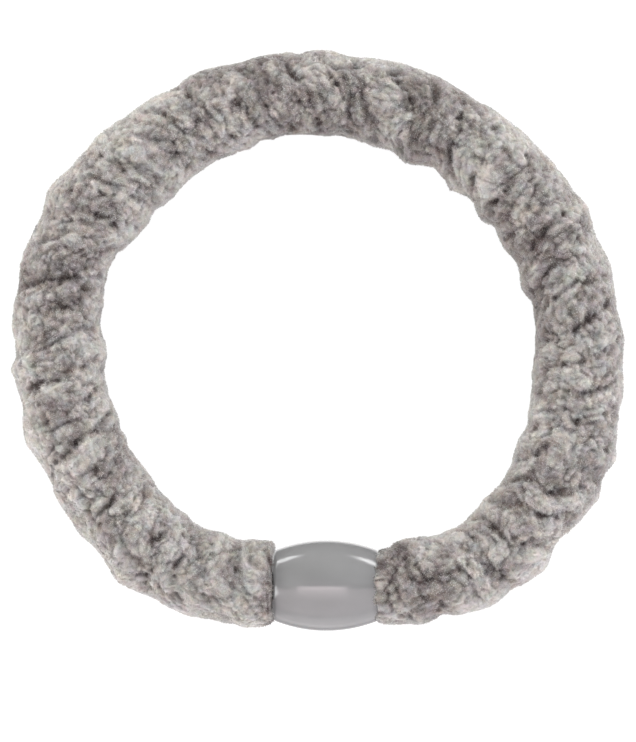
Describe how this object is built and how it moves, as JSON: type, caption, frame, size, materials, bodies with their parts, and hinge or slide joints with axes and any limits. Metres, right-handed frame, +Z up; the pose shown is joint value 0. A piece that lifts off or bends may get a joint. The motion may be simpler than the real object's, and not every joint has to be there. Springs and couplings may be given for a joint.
{
  "type": "velvet hair tie",
  "caption": "Round hair tie: a loop of plush velvet yarn wound over an elastic, its ends joined by a smooth barrel bead. It stretches round gathered hair.",
  "frame": {"origin": "middle of the loop's outline, on the surface that it lies on", "axes": "+Z up, square to the loop; +X along the bead's axis, across the widest part of the loop; -Y from the loop's middle towards the bead"},
  "size_m": [0.06, 0.0569, 0.0095],
  "materials": {
    "plush": "grey chenille pile, short and dense, with a soft sheen",
    "elastic": "matt round elastic, hidden by the cover and the bead",
    "bead": "smooth grey plastic, softly glossy"
  },
  "bodies": {
    "root": {"velvet_cover": "plush", "elastic_core": "elastic", "bead": "bead"}
  },
  "joints": []
}
